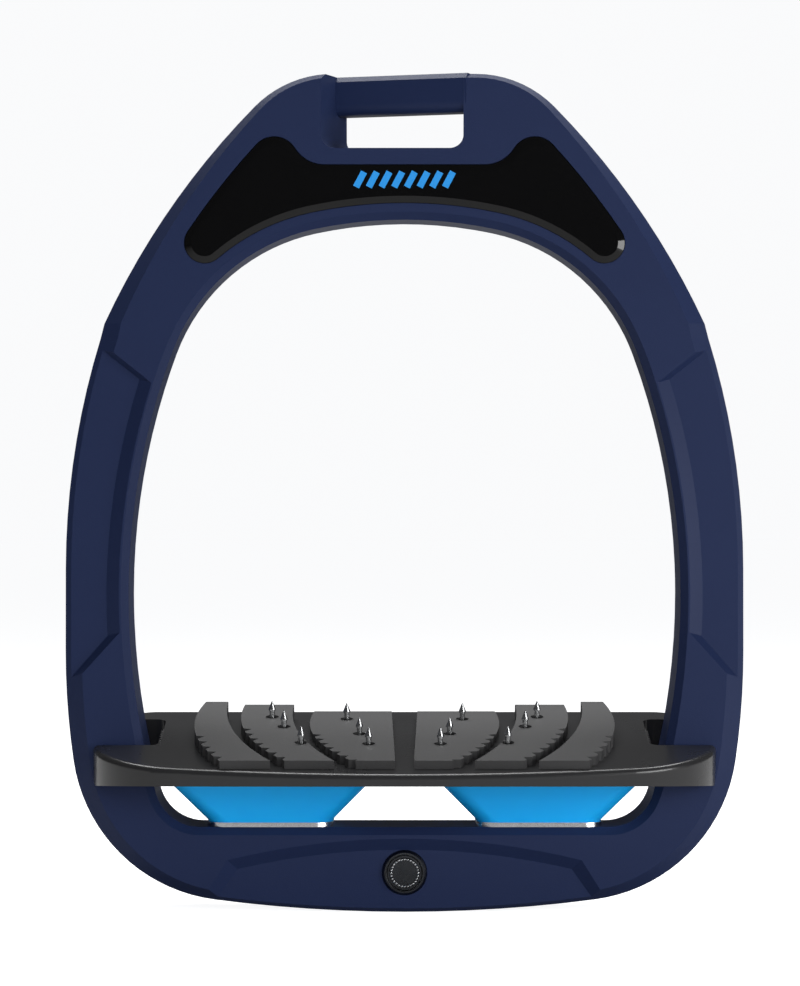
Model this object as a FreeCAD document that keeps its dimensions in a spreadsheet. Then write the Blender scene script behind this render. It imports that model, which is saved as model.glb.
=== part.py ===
import FreeCAD, Part
import math
import os
from types import SimpleNamespace

import Sketcher
from FreeCAD import Placement, Rotation, Vector

# Jumping stirrup with a moulded frame and a sprung, inclined tread.
# Millimetres. +X is the rider's right as the front is seen, the front faces -Y, +Z is up.
# The origin is the middle of the underside of the eye bar, where the stirrup leather pulls.
# The frame is drawn with heights from its lowest point, and every body is lowered to the origin.

# name, value, what it sets
DIMENSIONS = (
    ("frame_height", 192.0, "lowest point of the frame to the top of the eye bar"),
    ("outer_half_width", 77.6, "widest half width of the frame"),
    ("bottom_radius", 337.4, "underside of the bottom bar"),
    ("heel_radius", 37.4, "outer corner between bottom bar and leg"),
    ("low_leg_radius", 172.3, "outer leg below the waist"),
    ("low_waist_height", 59.6, "lower end of the straight waist"),
    ("high_waist_height", 78.5, "upper end of the straight waist"),
    ("high_leg_radius", 179.0, "outer leg above the waist"),
    ("step_low_height", 131.2, "lower end of the step between leg and shoulder"),
    ("step_high_height", 134.6, "upper end of the step"),
    ("step_half_width", 68.8, "half width at the upper end of the step"),
    ("slope_radius", 176.3, "long slope of the shoulder"),
    ("shoulder_radius", 25.2, "corner between slope and top"),
    ("top_half_flat", 16.4, "flat half width of the top"),
    ("inner_half_width", 63.1, "widest half width inside"),
    ("inner_waist_height", 72.5, "height of the widest inside width"),
    ("arch_height", 158.4, "underside of the arch"),
    ("arch_radius", 99.0, "inside of the arch at the middle"),
    ("haunch_radius", 44.5, "inside of the arch at its shoulders"),
    ("high_inner_radius", 160.0, "inside of the leg above the waist"),
    ("low_inner_radius", 167.0, "inside of the leg below the waist"),
    ("inner_heel_radius", 10.4, "inside corner between leg and bottom bar"),
    ("bar_top_height", 19.5, "top of the bottom bar"),
    ("bottom_depth", 21.6, "front to back depth at the bottom"),
    ("eye_depth", 17.2, "front to back depth at the top"),
    ("side_bevel_width", 4.0, "bevel round the outside, seen from the front"),
    ("low_bevel_width", 2.3, "the same bevel under the bottom bar"),
    ("top_bevel_width", 1.2, "the same bevel over the eye"),
    ("outer_bevel_depth", 3.0, "the same bevel, front to back"),
    ("inner_bevel", 1.7, "bevel round the inside"),
    ("cut_over", 6.4, "how far a cutting outline runs past the frame"),
    ("recess_head", 121.0, "leg recess, upper inner corner"),
    ("recess_foot", 64.0, "leg recess, lower inner corner"),
    ("recess_slope", 1.0, "rise of the recess ends over their run"),
    ("recess_margin", 2.1, "land between leg recess and inside edge"),
    ("recess_bevel", 3.0, "width of the sloped wall of the leg recess"),
    ("recess_end_bevel", 1.7, "height of its sloped ends"),
    ("recess_depth", 2.0, "depth of the leg recess"),
    ("side_step", 0.4, "how far the recessed part of the leg stands in at the side"),
    ("sole_half_width", 40.4, "bottom bar recess, half width of its top edge"),
    ("sole_corner_height", 12.1, "height of its top corners"),
    ("sole_radius", 169.0, "curve of its top edge"),
    ("sole_spread", 11.6, "how much wider it is at the bottom"),
    ("sole_bevel", 2.2, "width of its sloped wall"),
    ("sole_depth", 1.8, "depth of the bottom bar recess"),
    ("eye_bar_height", 9.0, "height of the eye bar"),
    ("eye_bar_depth", 8.0, "depth of the eye bar"),
    ("eye_slot_width", 31.0, "width of the slot for the leather"),
    ("eye_slot_height", 8.3, "height of the slot for the leather"),
    ("eye_slot_corner", 3.0, "lower corners of the slot"),
    ("eye_bar_round", 2.5, "rounding under the eye bar"),
    ("eye_skew", 18.0, "how far the eye is turned about the vertical, degrees"),
    ("panel_low_margin", 3.8, "arch panel to the inside of the arch"),
    ("panel_top_margin", 6.6, "arch panel to the outer slope"),
    ("panel_tip_radius", 4.6, "rounded lower tips of the arch panel"),
    ("panel_peak_radius", 5.5, "rounded upper corners of the arch panel"),
    ("panel_valley_radius", 8.0, "hollow corners under the eye"),
    ("panel_top_height", 170.8, "flat upper edge of the arch panel"),
    ("panel_half_flat", 18.3, "half width of that flat edge"),
    ("panel_recess", 1.6, "depth of the pocket for the arch panel"),
    ("panel_thickness", 2.3, "thickness of the arch panel"),
    ("panel_gap", 0.15, "gap round the arch panel"),
    ("panel_bevel", 1.5, "bevel round the arch panel, in plan"),
    ("badge_height", 9.1, "height of the badge centre"),
    ("badge_radius", 5.0, "radius of the badge"),
    ("badge_gap", 0.2, "gap round the badge"),
    ("badge_seat_depth", 1.6, "depth of the badge seat below the bar recess"),
    ("badge_thickness", 2.6, "thickness of the badge cap"),
    ("magnet_radius", 3.0, "radius of the badge magnet and its keeper"),
    ("magnet_thickness", 1.2, "thickness of the badge magnet"),
    ("keeper_thickness", 1.0, "thickness of the steel keeper disc"),
    ("screw_spacing", 61.6, "centre distance of the two tread screws"),
    ("screw_radius", 2.5, "shank radius of the tread screws"),
    ("screw_head_radius", 4.25, "head radius of the tread screws"),
    ("screw_head_height", 4.0, "head height of the tread screws"),
    ("screw_key", 2.0, "half width across flats of the screw's socket"),
    ("screw_key_depth", 2.2, "depth of the screw's socket"),
    ("washer_radius", 4.9, "radius of the screw washers"),
    ("washer_thickness", 1.0, "thickness of the screw washers"),
    ("bush_radius", 4.0, "radius of the guide bushes"),
    ("bush_flange_radius", 5.5, "flange radius of the guide bushes"),
    ("bush_flange_height", 1.2, "flange height of the guide bushes"),
    ("bush_play", 0.3, "room for a guide bush to rock in the bar"),
    ("slide_gap", 0.05, "running gap between screw and bush"),
    ("counterbore_radius", 6.3, "counterbore for the screw head"),
    ("counterbore_height", 11.5, "height of the counterbore's shoulder"),
    ("seat_thickness", 1.0, "thickness of the seat plates"),
    ("seat_rim", 0.5, "how far a seat plate stands out round its block"),
    ("block_foot_width", 28.0, "elastomer width at its foot"),
    ("block_foot_depth", 17.0, "elastomer depth at its foot"),
    ("block_corner", 4.6, "corner radius of the elastomer"),
    ("block_flare", 0.82, "sideways flare of the elastomer over its height"),
    ("block_flare_depth", 0.45, "front to back flare of the elastomer over its height"),
    ("block_bore_gap", 0.8, "gap between screw and elastomer"),
    ("tread_height", 40.74, "height of the tread's top face over the screws"),
    ("tread_tilt", 10.1, "slope of the tread, front edge low, degrees"),
    ("tread_half_length", 70.8, "half length of the tread"),
    ("tread_front", 40.0, "front edge of the tread from the screw line"),
    ("tread_back", 20.3, "back edge of the tread from the screw line"),
    ("tread_thickness", 8.7, "thickness of the tread at its ends and back"),
    ("rim_thickness", 2.6, "thickness of the tread's front rim"),
    ("rim_start", 16.0, "where the underside starts to rise to the front rim"),
    ("tread_front_radius", 236.0, "curve of the tread's front edge"),
    ("tread_corner_radius", 25.0, "front corners of the tread"),
    ("tread_back_corner", 8.0, "back corners of the tread"),
    ("tread_back_half_length", 66.0, "half length of the tread behind the legs"),
    ("notch_half_length", 55.7, "half length of the tread between the notches"),
    ("notch_front", 12.9, "front wall of the notch from the screw line"),
    ("notch_back", 11.8, "back wall of the notch from the screw line"),
    ("notch_corner", 2.5, "inner corners of the notch"),
    ("tread_edge_round", 1.3, "rounding of the tread's upper edge"),
    ("bumper_thickness", 0.9, "thickness of the rubber bumper in the notch"),
    ("bumper_height", 4.5, "height of the bumper"),
    ("bumper_half_width", 8.2, "half width of the bumper"),
    ("bumper_rib", 1.7, "pitch of the bumper's ribs"),
    ("pad_front", 34.5, "front edge of the grip pads from the screw line"),
    ("pad_back", 12.0, "back edge of the grip pads from the screw line"),
    ("pad_front_height", 1.9, "height of the grip pads at the front"),
    ("pad_outer_curve", 70.0, "curve of the pads' outer sides"),
    ("pad_inner_curve", 85.0, "curve of the pads' inner sides"),
    ("outer_pad_front_far", 41.0, "outer pad, front, far corner"),
    ("outer_pad_front_near", 29.8, "outer pad, front, near corner"),
    ("outer_pad_back_far", 46.4, "outer pad, back, far corner"),
    ("outer_pad_back_near", 41.2, "outer pad, back, near corner"),
    ("outer_pad_height", 4.2, "outer pad, height at the back"),
    ("middle_pad_front_far", 26.6, "middle pad, front, far corner"),
    ("middle_pad_front_near", 15.6, "middle pad, front, near corner"),
    ("middle_pad_back_far", 37.3, "middle pad, back, far corner"),
    ("middle_pad_back_near", 25.8, "middle pad, back, near corner"),
    ("middle_pad_height", 3.5, "middle pad, height at the back"),
    ("inner_pad_front_far", 11.8, "inner pad, front, far corner"),
    ("inner_pad_front_near", 2.1, "inner pad, front, near corner"),
    ("inner_pad_back_far", 21.1, "inner pad, back, far corner"),
    ("inner_pad_back_near", 3.0, "inner pad, back, near corner"),
    ("inner_pad_height", 1.9, "inner pad, height at the back"),
    ("tooth_depth", 1.7, "depth of the notches in the pads' outer sides"),
    ("tooth_width", 2.3, "width of those notches"),
    ("tooth_pitch", 3.4, "angle from one notch to the next, degrees"),
    ("tooth_start", 9.0, "angle of the first notch, degrees"),
    ("stud_thread_radius", 1.0, "thread radius of a stud"),
    ("stud_embed", 5.5, "length of a stud below the pad's face"),
    ("stud_shank_radius", 0.62, "radius of the stud's bare shank"),
    ("stud_shank_top", 1.6, "top of the shank over the pad's face"),
    ("stud_cone_radius", 0.85, "radius of the stud's cone"),
    ("stud_tip", 3.7, "tip of the stud over the pad's face"),
    ("stud_well_radius", 1.5, "radius of the well round a stud"),
    ("stud_well_depth", 0.7, "depth of the well round a stud"),
    ("middle_stud_1_x", 30.6, "studs of the middle pad"),
    ("middle_stud_1_y", 1.5, "studs of the middle pad"),
    ("middle_stud_2_x", 27.6, "studs of the middle pad"),
    ("middle_stud_2_y", -6.7, "studs of the middle pad"),
    ("middle_stud_3_x", 23.3, "studs of the middle pad"),
    ("middle_stud_3_y", -20.0, "studs of the middle pad"),
    ("inner_stud_1_x", 13.4, "studs of the inner pad"),
    ("inner_stud_1_y", 4.5, "studs of the inner pad"),
    ("inner_stud_2_x", 10.3, "studs of the inner pad"),
    ("inner_stud_2_y", -9.6, "studs of the inner pad"),
    ("inner_stud_3_x", 8.1, "studs of the inner pad"),
    ("inner_stud_3_y", -19.0, "studs of the inner pad"),
    ("insert_radius", 3.6, "radius of the threaded inserts in the tread"),
    ("insert_base", 33.4, "height of the inserts' lower ends"),
    ("insert_length", 5.0, "length of the threaded inserts"),
)

SIDES = (("right", 1), ("left", -1))
V_AXIS = -2
START, END, CENTRE = 1, 2, 3


class Size:
    """A size that knows its value and the formula that binds it to the sheet."""

    def __init__(self, value, text):
        self.value, self.text = value, text

    def _with(self, other, sign, work):
        other = other if isinstance(other, Size) else Size(other, repr(other))
        return Size(work(self.value, other.value), f"({self.text} {sign} {other.text})")

    def __add__(self, other):
        return self._with(other, "+", lambda a, b: a + b)

    def __sub__(self, other):
        return self._with(other, "-", lambda a, b: a - b)

    def __mul__(self, other):
        return self._with(other, "*", lambda a, b: a * b)

    def __truediv__(self, other):
        return self._with(other, "/", lambda a, b: a / b)

    def __neg__(self):
        return self * -1

    def half(self):
        return self / 2

    def sin(self):
        return Size(math.sin(math.radians(self.value)), f"sin({self.text} * 1 deg)")

    def cos(self):
        return Size(math.cos(math.radians(self.value)), f"cos({self.text} * 1 deg)")

    def arctan(self):
        return Size(math.degrees(math.atan(self.value)), f"(atan({self.text}) / 1 deg)")


doc = FreeCAD.newDocument("Stirrup")
sheet = doc.addObject("Spreadsheet::Sheet", "Dim")
for row, (alias, value, note) in enumerate(DIMENSIONS, start=1):
    sheet.set(f"A{row}", alias)
    sheet.set(f"B{row}", str(value))
    sheet.set(f"C{row}", note)
    sheet.setAlias(f"B{row}", alias)
doc.recompute()
D = SimpleNamespace(**{alias: Size(float(sheet.get(alias)), f"Dim.{alias}") for alias, _, _ in DIMENSIONS})
NOTHING = Size(0.0, "0")

# Sizes that follow from the sheet
EYE_HEIGHT = D.frame_height - D.eye_bar_height
FACE_LEAN = ((D.bottom_depth - D.eye_depth).half() / D.frame_height).arctan()
PLAY_BELOW_SHOULDER = D.counterbore_height - D.bush_play
BLOCK_FOOT = D.bar_top_height + D.seat_thickness
BLOCK_RISE = D.tread_height - D.tread_thickness - BLOCK_FOOT


def origin_plane(body, role):
    """One of a body's own origin planes."""
    return next(item for item in body.Origin.OriginFeatures if item.Role == role)


def bind(item, path, size):
    """Bind one property of an item to the sheet."""
    item.setExpression(path, size.text)


def new_body(label, tread=False):
    """An empty body, lowered to the origin, and tilted when it belongs to the tread."""
    body = doc.addObject("PartDesign::Body", label)
    body.Label = label
    if tread:
        body.Placement = Placement(Vector(), Rotation(Vector(1, 0, 0), D.tread_tilt.value))
        bind(body, "Placement.Base.z", D.tread_height - EYE_HEIGHT)
        bind(body, "Placement.Rotation.Angle", D.tread_tilt)
    else:
        bind(body, "Placement.Base.z", -EYE_HEIGHT)
    return body


class Outline:
    """A sketch of joined lines and arcs, pinned to the sheet."""

    def __init__(self, body, name, plane="XY_Plane", base=(), turn=None):
        """base holds (axis, size) pairs, and turn is (axis vector, size in degrees)."""
        self.sketch = body.newObject("Sketcher::SketchObject", name)
        self.sketch.AttachmentSupport = [(origin_plane(body, plane), "")]
        self.sketch.MapMode = "FlatFace"
        offset = Placement()
        if turn:
            offset.Rotation = Rotation(turn[0], turn[1].value)
        self.sketch.AttachmentOffset = offset
        for axis, size in base:
            bind(self.sketch, f"AttachmentOffset.Base.{axis}", size)
        if turn:
            bind(self.sketch, "AttachmentOffset.Rotation.Angle", turn[1])
        self.links = []

    def line(self, start, end):
        """A line between two points given as number pairs."""
        shape = Part.LineSegment(Vector(*start, 0), Vector(*end, 0))
        self.links.append((self.sketch.addGeometry(shape, False), START, END, (start, end, None, True)))

    def arc(self, centre, start, end, ccw=True):
        """An arc about a centre from start to end."""
        first, last = (start, end) if ccw else (end, start)
        radius = math.dist(centre, start)
        angles = [math.atan2(p[1] - centre[1], p[0] - centre[0]) for p in (first, last)]
        if angles[1] < angles[0]:
            angles[1] += 2 * math.pi
        shape = Part.ArcOfCircle(Part.Circle(Vector(*centre, 0), Vector(0, 0, 1), radius), *angles)
        ends = (START, END) if ccw else (END, START)
        self.links.append((self.sketch.addGeometry(shape, False), *ends, (start, end, centre, ccw)))

    def circle(self, centre, radius):
        """A full circle with its centre and radius pinned."""
        shape = Part.Circle(Vector(centre[0].value, centre[1].value, 0), Vector(0, 0, 1), radius.value)
        geo = self.sketch.addGeometry(shape, False)
        self.hold("Radius", (geo,), radius)
        self.hold("DistanceX", (geo, CENTRE), centre[0])
        self.hold("DistanceY", (geo, CENTRE), centre[1])

    def hold(self, kind, where, size, driving=True, name=None):
        """One constraint whose value follows the sheet."""
        index = self.sketch.addConstraint(Sketcher.Constraint(kind, *where, size.value))
        name = name or f"{kind}_{index}"
        self.sketch.renameConstraint(index, name)
        if driving:
            bind(self.sketch, f"Constraints.{name}", size)
        else:
            self.sketch.setDriving(index, False)

    def end_of(self, link):
        """The geometry and position of a link's last point."""
        return self.links[link][0], self.links[link][2]

    def pin(self, link, x=None, y=None):
        """Pin the last point of a link."""
        for kind, size in (("DistanceX", x), ("DistanceY", y)):
            if size is not None:
                self.hold(kind, self.end_of(link), size)

    def radius(self, link, size):
        """Set the radius of an arc."""
        self.hold("Radius", (self.links[link][0],), size)

    def centre(self, link, x=None, y=None):
        """Pin the centre of an arc."""
        for kind, size in (("DistanceX", x), ("DistanceY", y)):
            if size is not None:
                self.hold(kind, (self.links[link][0], CENTRE), size)

    def measure_centre(self, link, name):
        """Name the centre of an arc, so that other outlines can share it."""
        geo, centre = self.links[link][0], self.links[link][3][2]
        self.hold("DistanceX", (geo, CENTRE), Size(centre[0], ""), False, name + "_x")
        self.hold("DistanceY", (geo, CENTRE), Size(centre[1], ""), False, name + "_y")

    def rule(self, kind, *where):
        """A constraint without a size."""
        self.sketch.addConstraint(Sketcher.Constraint(kind, *where))

    def on_middle(self, geo, position):
        """Keep a point on the sketch's vertical axis."""
        self.rule("PointOnObject", geo, position, V_AXIS)

    def join(self, smooth=(), closed=True):
        """Join each link to the next one, tangent where smooth names the first of the two."""
        count = len(self.links)
        for link in range(count if closed else count - 1):
            following = self.links[(link + 1) % count]
            kind = "Tangent" if link in smooth else "Coincident"
            self.rule(kind, *self.end_of(link), following[0], following[1])

    def mirror(self):
        """Close a right half, which starts and ends on the vertical axis, with its mirror image."""
        right = list(self.links)
        first = right[0]
        self.on_middle(first[0], first[1])
        self.on_middle(*self.end_of(-1))
        last = self.end_of(-1)
        for link, (geo, start, end, (p, q, centre, ccw)) in reversed(list(enumerate(right))):
            p, q = (-p[0], p[1]), (-q[0], q[1])
            if centre:
                self.arc((-centre[0], centre[1]), q, p, ccw)
                self.rule("Equal", geo, self.links[-1][0])
            else:
                self.line(q, p)
            self.rule("Coincident", *last, self.links[-1][0], self.links[-1][1])
            last = self.end_of(-1)
            if link:
                self.rule("Symmetric", geo, start, *last, V_AXIS)
        self.rule("Coincident", *last, first[0], first[1])

    def polygon(self, points):
        """A closed polygon whose corners are pairs of sizes."""
        numbers = [(x.value, y.value) for x, y in points]
        for start, end in zip(numbers, numbers[1:] + numbers[:1]):
            self.line(start, end)
        self.join()
        for link, (x, y) in enumerate(points[1:] + points[:1]):
            self.pin(link, x, y)

    def rounded_box(self, half_x, half_y, corner, middle_y=NOTHING):
        """A rectangle about the vertical axis with four equal rounded corners."""
        x, y, r, m = half_x.value, half_y.value, corner.value, middle_y.value
        self.line((0, m - y), (x - r, m - y))
        self.arc((x - r, m - y + r), (x - r, m - y), (x, m - y + r))
        self.line((x, m - y + r), (x, m + y - r))
        self.arc((x - r, m + y - r), (x, m + y - r), (x - r, m + y))
        self.line((x - r, m + y), (0, m + y))
        self.join(smooth=(0, 1, 2, 3), closed=False)
        self.rule("Horizontal", self.links[0][0])
        self.rule("Vertical", self.links[2][0])
        self.rule("Horizontal", self.links[4][0])
        self.pin(1, x=half_x)
        self.pin(0, y=middle_y - half_y)
        self.pin(3, y=middle_y + half_y)
        self.radius(1, corner)
        self.radius(3, corner)
        self.mirror()


def crossing(centre_a, radius_a, centre_b, radius_b, side):
    """Where two circles cross, on the left (+1) or right (-1) of the line from a to b."""
    dx, dy = centre_b[0] - centre_a[0], centre_b[1] - centre_a[1]
    span = math.hypot(dx, dy)
    along = (radius_a ** 2 - radius_b ** 2 + span ** 2) / (2 * span)
    across = side * math.sqrt(radius_a ** 2 - along ** 2)
    return (centre_a[0] + (along * dx - across * dy) / span, centre_a[1] + (along * dy + across * dx) / span)


def towards(centre, target, radius):
    """The point at a radius from a centre in the direction of a target."""
    span = math.dist(centre, target)
    return tuple(c + (t - c) * radius / span for c, t in zip(centre, target))


def feature(body, kind, name, **settings):
    """A PartDesign feature with its plain settings."""
    item = body.newObject(f"PartDesign::{kind}", name)
    for key, setting in settings.items():
        setattr(item, key, setting)
    return item


def pad(body, outline, length, reverse=False, symmetric=False):
    """Pad an outline by a length."""
    item = feature(body, "Pad", outline.sketch.Name + "_pad", Profile=outline.sketch, Reversed=reverse)
    item.SideType = "Symmetric" if symmetric else "One side"
    bind(item, "Length", length)
    return item


def pocket(body, outline, length=None, reverse=False, symmetric=False):
    """Cut an outline to a length, or right through when none is given."""
    item = feature(body, "Pocket", outline.sketch.Name + "_cut", Profile=outline.sketch, Reversed=reverse)
    item.SideType = "Symmetric" if symmetric else "One side"
    if length is None:
        item.Type = "ThroughAll"
    else:
        bind(item, "Length", length)
    return item


def loft(body, kind, name, outlines):
    """A ruled loft through outlines."""
    first, *others = [outline.sketch for outline in outlines]
    return feature(body, kind, name, Profile=first, Sections=others, Ruled=True)


def rim(shape, normal, biggest=True):
    """Names of the edges round the hole, or of the outer edges, of the largest face that faces a way."""
    faces = [f for f in shape.Faces if f.Surface.TypeId == "Part::GeomPlane" and f.normalAt(0, 0).dot(normal) > 0.99]
    face = max(faces, key=lambda f: f.Area)
    outer = face.OuterWire
    if biggest:
        wanted = [edge for wire in face.Wires if not wire.isSame(outer) for edge in wire.Edges]
    else:
        wanted = outer.Edges
    return [f"Edge{n}" for n, edge in enumerate(shape.Edges, start=1) if any(edge.isSame(w) for w in wanted)]


# ---------------------------------------------------------------- frame


def draw_outer(outline, side, low, top):
    """The frame's outside, drawn smaller by the bevel's width at its side, bottom and top."""
    wide = D.outer_half_width - side
    floor = (0.0, D.bottom_radius.value)
    bottom_radius = D.bottom_radius - low
    low_leg = ((D.outer_half_width - D.low_leg_radius).value, D.low_waist_height.value)
    low_leg_radius = D.low_leg_radius - side
    heel_radius = D.heel_radius - (side + low).half()
    heel = crossing(floor, (bottom_radius - heel_radius).value, low_leg, (low_leg_radius - heel_radius).value, 1)
    if heel[0] < 0:
        heel = crossing(floor, (bottom_radius - heel_radius).value, low_leg, (low_leg_radius - heel_radius).value, -1)
    high_leg = ((D.outer_half_width - D.high_leg_radius).value, D.high_waist_height.value)
    high_leg_radius = D.high_leg_radius - side
    step_rise = (D.step_low_height - D.high_waist_height).value
    step_low = (high_leg[0] + math.sqrt(high_leg_radius.value ** 2 - step_rise ** 2), D.step_low_height.value)
    step_high = ((D.step_half_width - side).value, D.step_high_height.value)
    slope_radius = D.slope_radius - side
    shoulder_radius = D.shoulder_radius - (side + top).half()
    roof = D.frame_height - top
    shoulder = (D.top_half_flat.value, (roof - shoulder_radius).value)
    slope = crossing(step_high, slope_radius.value, shoulder, (slope_radius - shoulder_radius).value, -1)
    if slope[0] > 0:
        slope = crossing(step_high, slope_radius.value, shoulder, (slope_radius - shoulder_radius).value, 1)

    foot = towards(floor, heel, bottom_radius.value)
    ankle = towards(low_leg, heel, low_leg_radius.value)
    crest = towards(slope, shoulder, slope_radius.value)
    outline.arc(floor, (0, low.value), foot)
    outline.arc(heel, foot, ankle)
    outline.arc(low_leg, ankle, (wide.value, D.low_waist_height.value))
    outline.line((wide.value, D.low_waist_height.value), (wide.value, D.high_waist_height.value))
    outline.arc(high_leg, (wide.value, D.high_waist_height.value), step_low)
    outline.line(step_low, step_high)
    outline.arc(slope, step_high, crest)
    outline.arc(shoulder, crest, (D.top_half_flat.value, roof.value))
    outline.line((D.top_half_flat.value, roof.value), (0, roof.value))
    outline.join(smooth=(0, 1, 2, 3, 6, 7), closed=False)
    outline.hold("DistanceY", (outline.links[0][0], outline.links[0][1]), low)
    outline.on_middle(outline.links[0][0], CENTRE)
    outline.radius(0, bottom_radius)
    outline.radius(1, heel_radius)
    outline.radius(2, low_leg_radius)
    outline.rule("Vertical", outline.links[3][0])
    outline.pin(2, x=wide, y=D.low_waist_height)
    outline.pin(3, y=D.high_waist_height)
    outline.radius(4, high_leg_radius)
    outline.pin(4, y=D.step_low_height)
    outline.pin(5, x=D.step_half_width - side, y=D.step_high_height)
    outline.radius(6, slope_radius)
    outline.radius(7, shoulder_radius)
    outline.rule("Horizontal", outline.links[8][0])
    outline.pin(7, x=D.top_half_flat, y=roof)
    outline.measure_centre(6, "slope")
    outline.mirror()
    return slope


def inner_centres():
    """Centres of the arcs round the inside, and of the heel arc, as number pairs."""
    arch = (0.0, (D.arch_height - D.arch_radius).value)
    high_leg = ((D.inner_half_width - D.high_inner_radius).value, D.inner_waist_height.value)
    low_leg = ((D.inner_half_width - D.low_inner_radius).value, D.inner_waist_height.value)
    haunch = crossing(arch, (D.arch_radius - D.haunch_radius).value,
                      high_leg, (D.high_inner_radius - D.haunch_radius).value, -1)
    if haunch[0] < 0:
        haunch = crossing(arch, (D.arch_radius - D.haunch_radius).value,
                          high_leg, (D.high_inner_radius - D.haunch_radius).value, 1)
    heel_height = (D.bar_top_height + D.inner_heel_radius).value
    reach = (D.low_inner_radius - D.inner_heel_radius).value
    heel = (low_leg[0] + math.sqrt(reach ** 2 - (heel_height - low_leg[1]) ** 2), heel_height)
    return arch, haunch, high_leg, low_leg, heel


def draw_inside(outline):
    """The opening inside the frame."""
    arch, haunch, high_leg, low_leg, heel = inner_centres()
    waist = (D.inner_half_width.value, D.inner_waist_height.value)
    spring = towards(arch, haunch, D.arch_radius.value)
    knee = towards(high_leg, haunch, D.high_inner_radius.value)
    ankle = towards(low_leg, heel, D.low_inner_radius.value)
    floor = (heel[0], D.bar_top_height.value)
    outline.line((0, floor[1]), floor)
    outline.arc(heel, floor, ankle)
    outline.arc(low_leg, ankle, waist)
    outline.arc(high_leg, waist, knee)
    outline.arc(haunch, knee, spring)
    outline.arc(arch, spring, (0, D.arch_height.value))
    outline.join(smooth=range(5), closed=False)
    outline.rule("Horizontal", outline.links[0][0])
    outline.pin(0, y=D.bar_top_height)
    outline.radius(1, D.inner_heel_radius)
    outline.radius(2, D.low_inner_radius)
    outline.pin(2, x=D.inner_half_width, y=D.inner_waist_height)
    outline.centre(2, y=D.inner_waist_height)
    outline.radius(3, D.high_inner_radius)
    outline.radius(4, D.haunch_radius)
    outline.radius(5, D.arch_radius)
    outline.on_middle(outline.links[5][0], CENTRE)
    outline.pin(5, y=D.arch_height)
    outline.measure_centre(4, "haunch")
    outline.mirror()


def face_outline(body, name, front, sunk=None):
    """An outline on the leaning front or rear face, or sunk below it."""
    depth = D.bottom_depth.half()
    if sunk is not None:
        depth = depth - sunk
    lean = Vector(-1, 0, 0) if front else Vector(1, 0, 0)
    return Outline(body, name, "XZ_Plane", base=(("z", depth if front else -depth),), turn=(lean, FACE_LEAN))


def draw_leg_recess(outline, side, level):
    """One leg recess, open to the outside: level 0 is its mouth and level 1 its floor."""
    width, end = D.recess_bevel * level, D.recess_end_bevel * level
    centre_x = (D.inner_half_width - D.high_inner_radius) * side
    radius = D.high_inner_radius + D.recess_margin + width
    run = D.outer_half_width + D.cut_over - D.inner_half_width
    shift = D.recess_slope * width * 0.85 - end
    head, foot = D.recess_head + shift, D.recess_foot - shift
    far = (D.outer_half_width + D.cut_over) * side
    high = D.recess_head + D.recess_slope * run - end
    low = D.recess_foot - D.recess_slope * run + end

    def on_arc(height):
        rise = height.value - D.inner_waist_height.value
        return (centre_x.value + side * math.sqrt(radius.value ** 2 - rise ** 2), height.value)

    outline.arc((centre_x.value, D.inner_waist_height.value), on_arc(head), on_arc(foot), ccw=side < 0)
    outline.line(on_arc(foot), (far.value, low.value))
    outline.line((far.value, low.value), (far.value, high.value))
    outline.line((far.value, high.value), on_arc(head))
    outline.join()
    outline.radius(0, radius)
    outline.centre(0, x=centre_x, y=D.inner_waist_height)
    outline.pin(0, y=foot)
    outline.pin(1, x=far, y=low)
    outline.pin(2, x=far, y=high)
    outline.pin(3, y=head)


def draw_sole_recess(outline, level):
    """The wide recess in the bottom bar, open downwards."""
    inset = D.sole_bevel * level
    half, corner, radius = D.sole_half_width - inset, D.sole_corner_height - inset, D.sole_radius - inset
    foot = D.sole_half_width + D.sole_spread - inset
    below = -D.cut_over
    drop = math.sqrt(radius.value ** 2 - half.value ** 2)
    outline.line((0, below.value), (foot.value, below.value))
    outline.line((foot.value, below.value), (half.value, corner.value))
    outline.arc((0, corner.value - drop), (half.value, corner.value), (0, corner.value - drop + radius.value))
    outline.join(closed=False)
    outline.rule("Horizontal", outline.links[0][0])
    outline.pin(0, x=foot, y=below)
    outline.pin(1, x=half, y=corner)
    outline.radius(2, radius)
    outline.on_middle(outline.links[2][0], CENTRE)
    outline.mirror()


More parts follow.
